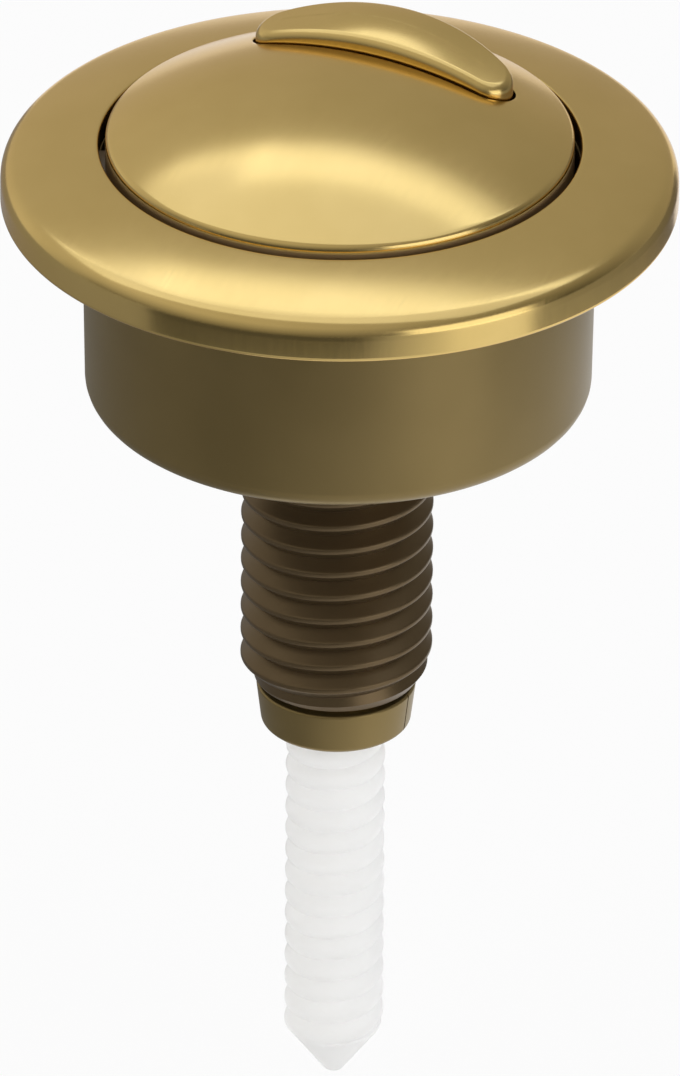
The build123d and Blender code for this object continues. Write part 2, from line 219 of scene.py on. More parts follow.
# %% Paint the room
ROOM_COLOUR = (1, 0.97, 0.9, 1)
ROOM_LEFT = 0.64
ROOM_RIGHT = 0.26
FRONT_START = -0.55  # the ray's share to the front where the camera's side begins
FRONT_FULL = 0.1  # and where it is complete
FRONT_LOW = 0.25  # share of the room's light on the camera's side, at the horizon
FRONT_HIGH = 1.05  # and from halfway up
FRONT_RISE = 0.7  # the ray's share upwards, halfway up
HORIZON_LIFT = 1.15
LIFT_END = 0.5  # the ray's share upwards where the lift ends
front_share = add_node(room, "ShaderNodeMix", {
    "Factor": ray_level(to_front, FRONT_START, FRONT_FULL, 0, 1),
    "A": 1,
    "B": ray_level(UP, 0, FRONT_RISE, FRONT_LOW, FRONT_HIGH),
})
room_level = ray_level(to_right, -1, 1, ROOM_LEFT, ROOM_RIGHT)
room_level = product(room, room_level, front_share.outputs["Result"])
room_level = product(room, room_level, ray_level(UP, 0, LIFT_END, HORIZON_LIFT, 1))
set_inputs(room.nodes["Background"], {"Strength": room_level, "Color": ROOM_COLOUR})
print("room:", ROOM_LEFT, "bright on the left,", ROOM_RIGHT, "on the right")

# %% [markdown]
# ## Floor and flags
#
# The floor is plain white. It stays white in the picture because camera, mirror and transmitted rays see
# most of it as a plain glow, while the rest of its shading still carries the shadow. A photographer lays
# dark cloth, a flag, where a shiny wall should turn dark: here flags lie on the floor, and only mirror
# rays see them. The near ones darken the cup and the shank on the left. The far ones are what the bezel's
# wall mirrors, and the space between them is the bright stretch on its right. The brightness runs evenly
# along each flag from one side to the other. It is kept on the points of the mesh and glows by itself, so
# it does not change with the lamps.

# %% Lay the floor
FLOOR_SIZE = 12.0
FLOOR_DROP = 0.5 * MM  # below the tip of the rod
floor_height = cad_low.z - FLOOR_DROP
bpy.ops.mesh.primitive_plane_add(size=FLOOR_SIZE, location=(0, 0, floor_height))
floor = bpy.context.object
floor.name = "floor"
paper = bpy.data.materials.new("floor_paper")
paper.use_nodes = True
floor.data.materials.append(paper)
print("floor:", round(floor_height / MM, 1), "mm from the lid plane")

# %% Let the floor glow white
FLOOR_GLOW = 0.92  # share of the floor that is seen as plain white
sheet = paper.node_tree
matt = sheet.nodes["Principled BSDF"]
set_inputs(matt, {"Base Color": (0.9, 0.9, 0.9, 1), "Roughness": 0.9, "Specular IOR Level": 0.0})
path = add_node(sheet, "ShaderNodeLightPath", {})
seen = path.outputs["Is Camera Ray"]
for kind in ("Is Glossy Ray", "Is Transmission Ray"):
    either = add_node(sheet, "ShaderNodeMath", {0: seen, 1: path.outputs[kind]}, operation="MAXIMUM")
    seen = either.outputs[0]
floor_mix = add_node(sheet, "ShaderNodeMixShader", {
    "Fac": product(sheet, seen, FLOOR_GLOW),
    1: matt.outputs[0],
    2: add_node(sheet, "ShaderNodeEmission", {}).outputs[0],
})
set_inputs(sheet.nodes["Material Output"], {"Surface": floor_mix.outputs[0]})
print("floor seen as plain white:", round(100 * FLOOR_GLOW), "%")

# %% Helper for flags
FLAG_STEPS = 12
FLAG_LIFT = 1 * MM  # above the floor


def lay_flag(name, start, end, near, far, first, last):
    """Sector of cloth on the floor between two turns and two distances, with a level at each turn."""
    points = []
    levels = []
    for reach in (near, far):
        for step in range(FLAG_STEPS + 1):
            share = step / FLAG_STEPS
            points.append(around(start + (end - start) * share, reach, floor_height + FLAG_LIFT))
            levels.append(first + (last - first) * share)
    faces = [(step, FLAG_STEPS + 1 + step, FLAG_STEPS + 2 + step, step + 1) for step in range(FLAG_STEPS)]
    mesh = bpy.data.meshes.new(name)
    mesh.from_pydata(points, [], faces)
    mesh.attributes.new("level", "FLOAT", "POINT").data.foreach_set("value", levels)
    cloth = bpy.data.materials.new(name)
    cloth.use_nodes = True
    level = add_node(cloth.node_tree, "ShaderNodeAttribute", {}, attribute_name="level")
    glow = add_node(cloth.node_tree, "ShaderNodeEmission", {"Strength": level.outputs["Fac"]})
    set_inputs(cloth.node_tree.nodes["Material Output"], {"Surface": glow.outputs[0]})
    mesh.materials.append(cloth)
    flag = bpy.data.objects.new(name, mesh)
    bpy.context.scene.collection.objects.link(flag)
    flag.visible_camera = False
    flag.visible_diffuse = False
    flag.visible_transmission = False
    flag.visible_shadow = False


# %% Lay the flags
lay_flag("cup_flag", start=-165, end=-50, near=0.03, far=0.2, first=0.26, last=0.26)
lay_flag("cup_fade_flag", start=-50, end=42, near=0.03, far=0.2, first=0.26, last=0.9)
lay_flag("far_left_flag", start=-165, end=-62, near=0.2, far=5.5, first=0.32, last=0.3)
lay_flag("far_front_flag", start=-62, end=6, near=0.2, far=5.5, first=0.09, last=0.09)
lay_flag("far_fade_flag", start=6, end=36, near=0.2, far=5.5, first=0.09, last=0.85)
lay_flag("far_right_flag", start=64, end=150, near=0.19, far=5.5, first=0.3, last=0.16)

# %% [markdown]
# ## Satin brass
#
# The bezel and both caps are plated, brushed to a fine satin and lacquered. The surface mirrors the soft
# boxes, but tiny grain blurs the mirror, and the clear lacquer adds a thin white sheen of its own.
# Blender's shader has a layer for each: a metallic base in a warm yellow, a roughness with a grain so
# fine that only its sparkle shows, and a coat. All noise runs on object coordinates in metres, so its
# scale is simply one over the grain's size.


# %% Helpers for finishes and their noise
def new_finish(name):
    """Empty procedural material, with its node tree and main shader."""
    finish = bpy.data.materials.new(name)
    finish.use_nodes = True
    return finish, finish.node_tree, finish.node_tree.nodes["Principled BSDF"]


def grain(tree, size, detail=2.0, stretch=(1, 1, 1)):
    """Noise with blotches of the given size in metres, on the piece's own coordinates."""
    place = add_node(tree, "ShaderNodeTexCoord", {}).outputs["Object"]
    turned = {"Vector": place, "Rotation": (0, 0, -VIEW_AZIMUTH), "Scale": stretch}
    shape = add_node(tree, "ShaderNodeMapping", turned).outputs["Vector"]
    noise = add_node(tree, "ShaderNodeTexNoise", {"Vector": shape, "Scale": 1 / size, "Detail": detail})
    return noise.outputs["Fac"]


# %% Helpers that turn a share into colour, roughness and relief
BLEND_SPAN = (0.3, 0.7)


def blend_colours(tree, share, first, second):
    """Colour that runs from the first to the second over the middle of a share's range."""
    ramp = add_node(tree, "ShaderNodeValToRGB", {"Fac": share})
    for stop, position, colour in zip(ramp.color_ramp.elements, BLEND_SPAN, (first, second)):
        stop.position = position
        stop.color = (*colour, 1)
    return ramp.outputs["Color"]


def spread(tree, share, low, high):
    """Number that runs from low to high as share runs from 0 to 1."""
    span = add_node(tree, "ShaderNodeMapRange", {"Value": share, "To Min": low, "To Max": high})
    return span.outputs["Result"]


def bumps(tree, height, depth, strength):
    """Fine relief of the given depth in metres."""
    bump = add_node(tree, "ShaderNodeBump", {"Height": height, "Distance": depth, "Strength": strength})
    return bump.outputs["Normal"]


# %% Helpers for painted shade below a height
FINISH_FADE = 0.3 * MM


def from_height(tree, height):
    """Share that is 0 up to a height in metres on the piece and 1 from a short fade above it."""
    place = add_node(tree, "ShaderNodeTexCoord", {}).outputs["Object"]
    level = add_node(tree, "ShaderNodeSeparateXYZ", {0: place}).outputs["Z"]
    fade = {"Value": level, "From Min": height, "From Max": height + FINISH_FADE}
    return add_node(tree, "ShaderNodeMapRange", fade).outputs["Result"]


def painted(tree, share, shade_colour, colour):
    """Colour where share is 1, and a colour of painted shade where it is 0."""
    coats = {"Factor": share, "A": (*shade_colour, 1), "B": colour}
    return add_node(tree, "ShaderNodeMix", coats, data_type="RGBA").outputs["Result"]


# %% Mix the brass
BRASS_TINTS = (0.73, 0.52, 0.165), (0.78, 0.56, 0.19)
BRASS_EDGE_TINT = (0.8, 0.62, 0.36, 1)  # of the metal seen at a glancing angle
BRASS_ROUGHNESS = 0.14, 0.23
CLOUD_SIZE = 9 * MM
BRUSH_SIZE = 0.18 * MM
BRUSH_STRETCH = (1, 0.06, 0.06)
# painted shade for the gap round the large button: the skirt's colour and roughness below the rim
SKIRT_SHADE_COLOUR = (0.2, 0.13, 0.06)
SKIRT_SHADE_ROUGHNESS = 0.6


def satin_brass(name, low, high, shade_below=None):
    """Brass with a brushed grain between two roughnesses, and matt painted shade below a height in metres.
    """
    finish, tree, shader = new_finish(name)
    brush = grain(tree, BRUSH_SIZE, stretch=BRUSH_STRETCH)
    colour = blend_colours(tree, grain(tree, CLOUD_SIZE, detail=3.0), *BRASS_TINTS)
    polish = spread(tree, brush, low, high)
    unshaded = 1.0
    # painted shade: below the height the colour turns dark brown, matt and not metallic
    if shade_below is not None:
        unshaded = from_height(tree, shade_below)
        colour = painted(tree, unshaded, SKIRT_SHADE_COLOUR, colour)
        dullness = add_node(tree, "ShaderNodeMix", {"Factor": unshaded, "A": SKIRT_SHADE_ROUGHNESS, "B": polish})
        polish = dullness.outputs["Result"]
    set_inputs(shader, {
        "Base Color": colour,
        "Roughness": polish,
        "Normal": bumps(tree, brush, 0.003 * MM, 0.25),
        "Metallic": unshaded,
        "Specular Tint": BRASS_EDGE_TINT,
        "Coat Weight": 0.8,
        "Coat Roughness": 0.2,
    })
    return finish


brass = satin_brass("satin_brass", *BRASS_ROUGHNESS)
print("finish:", brass.name)

# %% [markdown]
# ## Plastics and steel
#
# The cup, the shank and the collar are plastic under a bronze lacquer full of metal flakes. A flake is a
# small mirror, so the shader is mostly metallic, in a dark brown-green: the walls show the floor, and the
# flanks of the thread show the dark underside of the cup. The rest is the pigment between the flakes. A
# slow noise gives the uneven flow that such lacquer always has. Below the cup the lacquer's colour is
# darker on the shank: painted shade, where the cup shadows it. The rod is milky nylon, so light goes in
# and comes out again a little further on, which is what subsurface scattering does. These finishes and
# the steel share one recipe: blotches of colour, and fine specks of roughness and relief.


# %% Helper for speckled finishes
def speckled(name, tints, tint_size, speck_size, roughness, relief):
    """Finish with colour in blotches, and roughness and relief in specks, all sizes in metres."""
    finish, tree, shader = new_finish(name)
    specks = grain(tree, speck_size)
    set_inputs(shader, {
        "Base Color": blend_colours(tree, grain(tree, tint_size), *tints),
        "Roughness": spread(tree, specks, *roughness),
        "Normal": bumps(tree, specks, *relief),
    })
    return finish, tree, shader


# %% Mix the bronze
BRONZE_TINTS = (0.235, 0.17, 0.066), (0.265, 0.194, 0.078)
# painted shade: the darker bronze painted on the shank under the cup
CUP_SHADE_BRONZE = (0.145, 0.101, 0.052)


def bronze_moulding(name, shadow_below=None):
    """Plastic under a brown-green bronze lacquer, with painted shade below a height in metres."""
    finish, tree, shader = speckled(
        name, BRONZE_TINTS, 14 * MM, 0.12 * MM, roughness=(0.3, 0.4), relief=(0.003 * MM, 0.3)
    )
    if shadow_below is not None:
        lacquer = shader.inputs["Base Color"].links[0].from_socket
        unshadowed = from_height(tree, shadow_below)
        set_inputs(shader, {"Base Color": painted(tree, unshadowed, CUP_SHADE_BRONZE, lacquer)})
    set_inputs(shader, {"Metallic": 0.85})
    return finish


bronze = bronze_moulding("bronze_moulding")
print("finish:", bronze.name)

# %% Mix the other plastics and the steel
NYLON_TINTS = (0.93, 0.93, 0.94), (0.96, 0.96, 0.96)
GREY_TINTS = (0.09, 0.09, 0.09), (0.11, 0.11, 0.11)
STEEL_TINTS = (0.5, 0.5, 0.5), (0.58, 0.58, 0.57)
nylon, _, nylon_shader = speckled(
    "white_nylon", NYLON_TINTS, 11 * MM, 0.2 * MM, roughness=(0.38, 0.48), relief=(0.003 * MM, 0.2)
)
set_inputs(nylon_shader, {
    "Subsurface Weight": 0.8,
    "Subsurface Radius": (1.0, 1.0, 1.0),
    "Subsurface Scale": 3 * MM,
})
grey, _, _ = speckled(
    "grey_moulding", GREY_TINTS, 0.3 * MM, 0.3 * MM, roughness=(0.5, 0.6), relief=(0.01 * MM, 0.3)
)
steel, _, steel_shader = speckled(
    "spring_steel", STEEL_TINTS, 0.25 * MM, 0.25 * MM, roughness=(0.25, 0.35), relief=(0.004 * MM, 0.3)
)
set_inputs(steel_shader, {"Metallic": 1.0})
print("finishes:", ", ".join(finish.name for finish in (nylon, grey, steel)))

# %% [markdown]
# ## The bezel
#
# The bezel is a turned ring, so its whole form lies in one outline: a slightly crowned face that slopes
# outwards, a soft outer edge, a short wall, a thin lip and a snap bead inside. Spinning that outline
# round the axis is how a lathe would cut it, and the outline's corners are rounded first, because the
# thin bright lines in the picture all sit on rounded corners. The crown matters as much: it brings the
# reflection of the soft box to the outer half of the face only. The ribs inside, which sit on the flange,
# are flat plates set round the axis.

# %% Helper that rounds an outline
ROUND_STEPS = 8


def rounded(corners):
    """Outline through (radius, height, rounding) corners, with each corner turned into an arc."""
    outline = []
    for index, (radius, height, rounding) in enumerate(corners):
        here = Vector((radius, height))
        if rounding == 0:
            outline.append(here)
            continue
        before = (Vector(corners[index - 1][:2]) - here).normalized()
        after = (Vector(corners[(index + 1) % len(corners)][:2]) - here).normalized()
        half_angle = before.angle(after) / 2
        centre = here + (before + after).normalized() * rounding / sin(half_angle)
        first = here + before * rounding / tan(half_angle) - centre
        sweep = first.angle_signed(here + after * rounding / tan(half_angle) - centre)
        start = atan2(first.y, first.x)
        for step in range(ROUND_STEPS + 1):
            angle = start - sweep * step / ROUND_STEPS
            outline.append(centre + Vector((cos(angle), sin(angle))) * rounding)
    return outline


# %% Helpers that turn and stack meshes
TURN_STEPS = 256
WELD_DISTANCE = 0.002 * MM  # points closer than this become one


def finished_mesh(name, shape):
    """Mesh from a bmesh, with its faces turned outwards."""
    bmesh.ops.recalc_face_normals(shape, faces=shape.faces)
    mesh = bpy.data.meshes.new(name)
    shape.to_mesh(mesh)
    shape.free()
    return mesh


def turned_mesh(name, outline, steps=TURN_STEPS):
    """Closed ring made by spinning an outline in millimetres round the Z axis."""
    turned = bmesh.new()
    rings = []
    for step in range(steps):
        angle = 2 * pi * step / steps
        ring = [(radius * cos(angle), radius * sin(angle), height) for radius, height in outline]
        rings.append([turned.verts.new(Vector(point) * MM) for point in ring])
    for step in range(steps):
        ring, following = rings[step - 1], rings[step]
        for index in range(len(outline)):
            turned.faces.new((ring[index - 1], ring[index], following[index], following[index - 1]))
    bmesh.ops.remove_doubles(turned, verts=turned.verts, dist=WELD_DISTANCE)
    return finished_mesh(name, turned)


def stacked_mesh(name, rings, hoop=False):
    """Solid from rings of (x, y, z) points in millimetres, with end caps unless it closes as a hoop."""
    solid = bmesh.new()
    loops = [[solid.verts.new(Vector(point) * MM) for point in ring] for ring in rings]
    ends = loops[0], loops[-1]
    if hoop:
        loops.append(loops[0])
    for lower, upper in zip(loops, loops[1:]):
        for index in range(len(lower)):
            solid.faces.new((lower[index - 1], lower[index], upper[index], upper[index - 1]))
    if not hoop:
        solid.faces.new(reversed(ends[0]))
        solid.faces.new(ends[1])
    return finished_mesh(name, solid)


# %% Helpers for plates and blocks
def turned_points(points, angle):
    """Points in millimetres, turned round the Z axis."""
    return [(x * cos(angle) - y * sin(angle), x * sin(angle) + y * cos(angle), z) for x, y, z in points]


def radial_plate(name, outline, thickness, angle):
    """Flat rib on a radius, from an outline of (radius, height) points."""
    rings = []
    for side in (-thickness / 2, thickness / 2):
        rings.append(turned_points([(radius, side, height) for radius, height in outline], angle))
    return stacked_mesh(name, rings)


def wedge(name, inner, outer, width, low, high, angle):
    """Block with a round outer face, on a radius."""
    reach = asin(width / 2 / outer)
    plan = [(outer * cos(reach * side), outer * sin(reach * side)) for side in (-1, -0.5, 0, 0.5, 1)]
    plan += [(inner, width / 2), (inner, -width / 2)]
    return stacked_mesh(name, [turned_points([(x, y, z) for x, y in plan], angle) for z in (low, high)])


# %% Helpers that finish a piece
def joined_mesh(name, meshes):
    """One mesh out of several."""
    joined = bmesh.new()
    for mesh in meshes:
        joined.from_mesh(mesh)
    result = bpy.data.meshes.new(name)
    joined.to_mesh(result)
    joined.free()
    return result


def smooth_object(name, mesh, finish, body, node, sharp=30):
    """Piece in place of a CAD node, shaded softly where faces meet at less than the sharp angle."""
    mesh.polygons.foreach_set("use_smooth", [True] * len(mesh.polygons))
    mesh.set_sharp_from_angle(angle=radians(sharp))
    mesh.materials.append(finish)
    piece = bpy.data.objects.new(name, mesh)
    bpy.context.scene.collection.objects.link(piece)
    weighted = piece.modifiers.new("weighted_normals", "WEIGHTED_NORMAL")
    weighted.keep_sharp = True
    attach(piece, body)
    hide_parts(node)
    return piece


# %% Draw the bezel's face
bezel_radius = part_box("bezel")[1].x / MM
OPENING_RADIUS = 24.9
BEZEL_RISE = 6.7
BEZEL_FALL = tan(radians(14.5))
BEZEL_FACE_RADIUS = 60.0
BEZEL_WALL = 1.8


def bezel_top(radius):
    """Height of the straight line between the face's two edges."""
    return BEZEL_RISE - (radius - OPENING_RADIUS) * BEZEL_FALL


def bezel_underside(radius):
    """Height of the wall's inside, parallel to that line."""
    return bezel_top(radius) - BEZEL_WALL * sqrt(1 + BEZEL_FALL**2)


def bezel_face(share):
    """Corner of the outline at a share of the way along the crowned face."""
    start = Vector((OPENING_RADIUS, BEZEL_RISE))
    chord = Vector((bezel_radius, bezel_top(bezel_radius))) - start
    half_angle = asin(chord.length / 2 / BEZEL_FACE_RADIUS)
    outwards = Vector((-chord.y, chord.x)).normalized()
    angle = half_angle * (2 * share - 1)
    along = 0.5 + 0.5 * sin(angle) / sin(half_angle)
    rise = BEZEL_FACE_RADIUS * (cos(angle) - cos(half_angle))
    point = start + chord * along + outwards * rise
    return (point.x, point.y, 0)


# %% Turn the bezel
FACE_STEPS = 14
EDGE_SHARE = 2  # steps of the face that the rounded edge takes up
BEZEL_EDGE_ROUND = 2.2
BEZEL_LIP_ROUND = 0.6
FINE_ROUND = 0.2  # of the small edges on all the mouldings
SKIRT_WALL = 2.0
MOUTH_HEIGHT = 4.3
SNAP_BITE = 0.6
SNAP_HEIGHT = 0.7
SNAP_ROUND = 0.1
skirt_radius = bezel_radius - SKIRT_WALL
ledge_radius = OPENING_RADIUS + (bezel_underside(OPENING_RADIUS) - MOUTH_HEIGHT) / BEZEL_FALL
bezel_outline = rounded([
    (OPENING_RADIUS, MOUTH_HEIGHT, FINE_ROUND),
    (OPENING_RADIUS, BEZEL_RISE, 0.25),
    *[bezel_face(step / FACE_STEPS) for step in range(1, FACE_STEPS - EDGE_SHARE)],
    (bezel_radius, bezel_top(bezel_radius), BEZEL_EDGE_ROUND),
    (bezel_radius, 0, BEZEL_LIP_ROUND),
    (skirt_radius, 0, SNAP_ROUND),
    (skirt_radius - SNAP_BITE, SNAP_HEIGHT / 2, SNAP_ROUND),
    (skirt_radius, SNAP_HEIGHT, 0),
    (skirt_radius, bezel_underside(skirt_radius), 0.5),
    (ledge_radius, MOUTH_HEIGHT, 0),
])
bezel_turned = turned_mesh("bezel_ring", bezel_outline)
print("bezel:", round(2 * bezel_radius, 1), "mm across,", len(bezel_outline), "points in its outline")

# %% Add its ribs
RIB_COUNT = 8
RIB_THICKNESS = 1.2
RIB_START = 26.8
FLANGE_TOP = 2.0
SINK = 0.4  # how far ribs and inner walls run into the wall that carries them
rib_outline = [
    (RIB_START, FLANGE_TOP),
    (skirt_radius + SINK, FLANGE_TOP),
    (skirt_radius + SINK, bezel_underside(skirt_radius) + SINK),
    (ledge_radius, MOUTH_HEIGHT + SINK),
    (RIB_START, MOUTH_HEIGHT + SINK),
]
ribs = []
for index in range(RIB_COUNT):
    ribs.append(radial_plate("rib", rib_outline, RIB_THICKNESS, 2 * pi * index / RIB_COUNT))
bezel_mesh = joined_mesh("bezel_ring", [bezel_turned, *ribs])
smooth_object("bezel_ring", bezel_mesh, brass, "housing_body", "bezel")
print("ribs inside the bezel:", len(ribs))

# %% [markdown]
# ## The large button
#
# The large button is a thin cap: a shallow dome with a rolled rim and a straight skirt, and a window for
# the small button. The cap is turned like the bezel, then the window is cut out of it with a boolean.
# The cutter's wall flares where it meets the dome, so the window gets a soft edge in the same cut. Below
# the rim the skirt is painted a dark, matt brown: painted shade, which makes the gap round the button
# look like a drawn line.

# %% Draw the dome
button_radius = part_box("full_flush_button")[1].x / MM
DOME_RISE = 6.3
RIM_HEIGHT = 7.6
dome_radius = (button_radius**2 + DOME_RISE**2) / (2 * DOME_RISE)
dome_centre = RIM_HEIGHT + DOME_RISE - dome_radius


def dome_height(x, y, depth=0.0):
    """Height of the dome over a point, or of the surface at a depth inside its wall."""
    return dome_centre + sqrt((dome_radius - depth) ** 2 - x**2 - y**2)


# %% Draw the half-moon
HALF_FRONT = 7.5
HALF_DEPTH = 7.8
HALF_ARC_RADIUS = 33.0
HALF_CORNER = 2.7
ARC_STEPS = 48
CORNER_STEPS = 24
FRONT_STEPS = 36
arc_centre = HALF_FRONT + HALF_DEPTH - HALF_ARC_RADIUS


def half_moon(margin):
    """Outline of the small button grown by margin, as points that run anticlockwise."""
    corner_y = HALF_FRONT + HALF_CORNER
    corner_x = sqrt((HALF_ARC_RADIUS - HALF_CORNER) ** 2 - (corner_y - arc_centre) ** 2)
    meet = atan2(corner_y - arc_centre, corner_x)
    stretches = [
        (corner_x, corner_y, HALF_CORNER + margin, -pi / 2, meet, CORNER_STEPS),
        (0, arc_centre, HALF_ARC_RADIUS + margin, meet, pi - meet, ARC_STEPS),
        (-corner_x, corner_y, HALF_CORNER + margin, pi - meet, 3 * pi / 2, CORNER_STEPS),
    ]
    points = []
    for x, y, radius, start, end, steps in stretches:
        for step in range(steps):
            angle = start + (end - start) * step / steps
            points.append((x + radius * cos(angle), y + radius * sin(angle)))
    for step in range(FRONT_STEPS):
        points.append((corner_x * (2 * step / FRONT_STEPS - 1), HALF_FRONT - margin))
    return points


# %% Turn the cap
DOME_WALL = 1.6
BUTTON_SKIRT_WALL = 1.5
RIM_ROUND = 0.9
DOME_STEPS = 48
skirt_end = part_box("full_flush_button")[0].z / MM
cap_inner = button_radius - BUTTON_SKIRT_WALL
rim_start = button_radius - 0.7 * RIM_ROUND  # where the dome gives way to the rounded rim


def dome_arc(reach, depth=0.0):
    """Outline points along the dome, from the axis to a radius."""
    radii = [reach * step / DOME_STEPS for step in range(DOME_STEPS + 1)]
    return [Vector((radius, dome_height(radius, 0, depth))) for radius in radii]


cap_rim = rounded([
    (rim_start, dome_height(rim_start, 0), 0),
    (button_radius, RIM_HEIGHT, RIM_ROUND),
    (button_radius, skirt_end, FINE_ROUND),
    (cap_inner, skirt_end, FINE_ROUND),
    (cap_inner, dome_height(cap_inner, 0, DOME_WALL), 0),
])
cap_outline = dome_arc(rim_start) + cap_rim[1:-1] + dome_arc(cap_inner, DOME_WALL)[::-1]
cap_mesh = turned_mesh("dome_cap", cap_outline)
print("large button:", round(2 * button_radius, 1), "mm across, dome radius", round(dome_radius, 1), "mm")


# %% Helper that cuts
def cut_mesh(mesh, cutters):
    """Mesh with other solids taken out of it."""
    piece = bpy.data.objects.new("piece", mesh)
    bpy.context.scene.collection.objects.link(piece)
    bpy.context.view_layer.objects.active = piece
    for cutter_mesh in cutters:
        cutter = bpy.data.objects.new("cutter", cutter_mesh)
        bpy.context.scene.collection.objects.link(cutter)
        cut = piece.modifiers.new("cut", "BOOLEAN")
        cut.object = cutter
        cut.solver = "EXACT"
        bpy.ops.object.modifier_apply(modifier="cut")
        bpy.data.objects.remove(cutter)
    bpy.data.objects.remove(piece)
    return mesh


# %% Cut the cap's window and slots
HALF_GAP = 0.25
SOFTNESS = 0.18  # of the window's edge
GUIDE_END = 7.8
CUT_REACH = 4  # how far the window's cutter runs past the wall
SLOT_ANGLES = [radians(angle) for angle in (-90, 30, 150)]
SLOT_WIDTH = 5.4
SLOT_LOW = 0.6
SLOT_HIGH = 2.2
window_levels = [  # margin, and height over the dome, of each ring of the cutter
    (HALF_GAP, -SOFTNESS),
    (HALF_GAP + 0.3 * SOFTNESS, -0.3 * SOFTNESS),
    (HALF_GAP + 1.1 * SOFTNESS, 0.02),
    (HALF_GAP + 1.2 * SOFTNESS, CUT_REACH),
]
window_rings = [[(x, y, GUIDE_END - CUT_REACH) for x, y in half_moon(HALF_GAP)]]
for margin, above in window_levels:
    window_rings.append([(x, y, dome_height(x, y) + above) for x, y in half_moon(margin)])
cap_cutters = [stacked_mesh("window", window_rings)]
for angle in SLOT_ANGLES:
    cap_cutters.append(
        wedge("slot", cap_inner - SINK, button_radius + 2, SLOT_WIDTH, SLOT_LOW, SLOT_HIGH, angle)
    )
cap_mesh = cut_mesh(cap_mesh, cap_cutters)
print("cap after the cuts:", len(cap_mesh.polygons), "faces")

# %% Add what stands inside it
SMALL_TURN_STEPS = 64
PUSHER_BORE = 3.4
PUSHER_RADIUS = 4.8
PUSHER_END = 3.6
GUIDE_WALL = 1.2
LUG_ANGLES = [radians(angle) for angle in (90, 210, 330)]
LUG_REACH = 25.35
LUG_WIDTH = 8
LUG_LOW = 2.3
LUG_HIGH = 4.3
pusher_top = dome_height(PUSHER_RADIUS, 0, DOME_WALL) + SINK
pusher = turned_mesh("pusher", rounded([
    (PUSHER_BORE, PUSHER_END, 0.1),
    (PUSHER_RADIUS, PUSHER_END, 0.1),
    (PUSHER_RADIUS, pusher_top, 0),
    (PUSHER_BORE, pusher_top, 0),
]), SMALL_TURN_STEPS)
guide_inner, guide_outer = half_moon(HALF_GAP), half_moon(HALF_GAP + GUIDE_WALL)
guide = stacked_mesh("guide", [
    [(x, y, GUIDE_END) for x, y in guide_inner],
    [(x, y, GUIDE_END) for x, y in guide_outer],
    [(x, y, dome_height(x, y, DOME_WALL) + SINK) for x, y in guide_outer],
    [(x, y, dome_height(x, y, DOME_WALL) + SINK) for x, y in guide_inner],
], hoop=True)
lugs = []
for angle in LUG_ANGLES:
    lugs.append(wedge("lug", button_radius - SINK, LUG_REACH, LUG_WIDTH, LUG_LOW, LUG_HIGH, angle))
cap_mesh = joined_mesh("dome_cap", [cap_mesh, pusher, guide, *lugs])
# painted shade in the gap round the button, below the rim
cap_brass = satin_brass("cap_brass", *BRASS_ROUGHNESS, shade_below=(RIM_HEIGHT - RIM_ROUND) * MM)
smooth_object("dome_cap", cap_mesh, cap_brass, "large_button", "full_flush_button")
print("inside the cap: a pusher ring, the window's guide and", len(lugs), "lugs")

# %% [markdown]
# ## The small button
#
# The small button is a half-moon pillow: a straight wall, a soft edge and a top that swells a little
# towards its middle. Rings make it: each ring is the half-moon's outline, moved inwards along the round
# of the edge and then drawn together towards a spine in the middle. The swelling is only a third of a
# millimetre, but it is what gives the top its bright patch. The same rings, further in, make the hollow
# underneath. Its brass is brushed a little coarser than the dome's, which softens that patch.

# %% Draw the small button's top
HALF_STAND = 1.6
HALF_CROWN_RADIUS = 38.0
HALF_CROWN_SETBACK = 1.2
HALF_SWELL = 0.33
SWELL_REACH = 10.0  # from the middle to where the swelling ends
crown_y = HALF_FRONT + HALF_DEPTH - HALF_CROWN_SETBACK
crown_sink = sqrt(HALF_CROWN_RADIUS**2 - (crown_y - HALF_FRONT) ** 2)
crown_centre = dome_height(0, HALF_FRONT) + HALF_STAND - crown_sink


def crown_height(x, y):
    """Height of the crown over a point."""
    return crown_centre + sqrt(HALF_CROWN_RADIUS**2 - x**2 - (y - crown_y) ** 2)


def drawn_in(margin, share, below):
    """Ring of the half-moon, drawn together towards its spine by a share, under the crown's height."""
    spine_end = max(x for x, y in half_moon(-HALF_CORNER))
    ring = []
    for x, y in half_moon(margin):
        spine_x = min(max(x, -spine_end), spine_end)
        spine_y = (HALF_FRONT + arc_centre + sqrt(HALF_ARC_RADIUS**2 - spine_x**2)) / 2
        x, y = x + (spine_x - x) * share, y + (spine_y - y) * share
        swell = HALF_SWELL * max(1 - (x / SWELL_REACH) ** 2, 0) ** 2 * (1 - (1 - share) ** 2)
        ring.append((x, y, crown_height(x, y) + swell - below))
    return ring


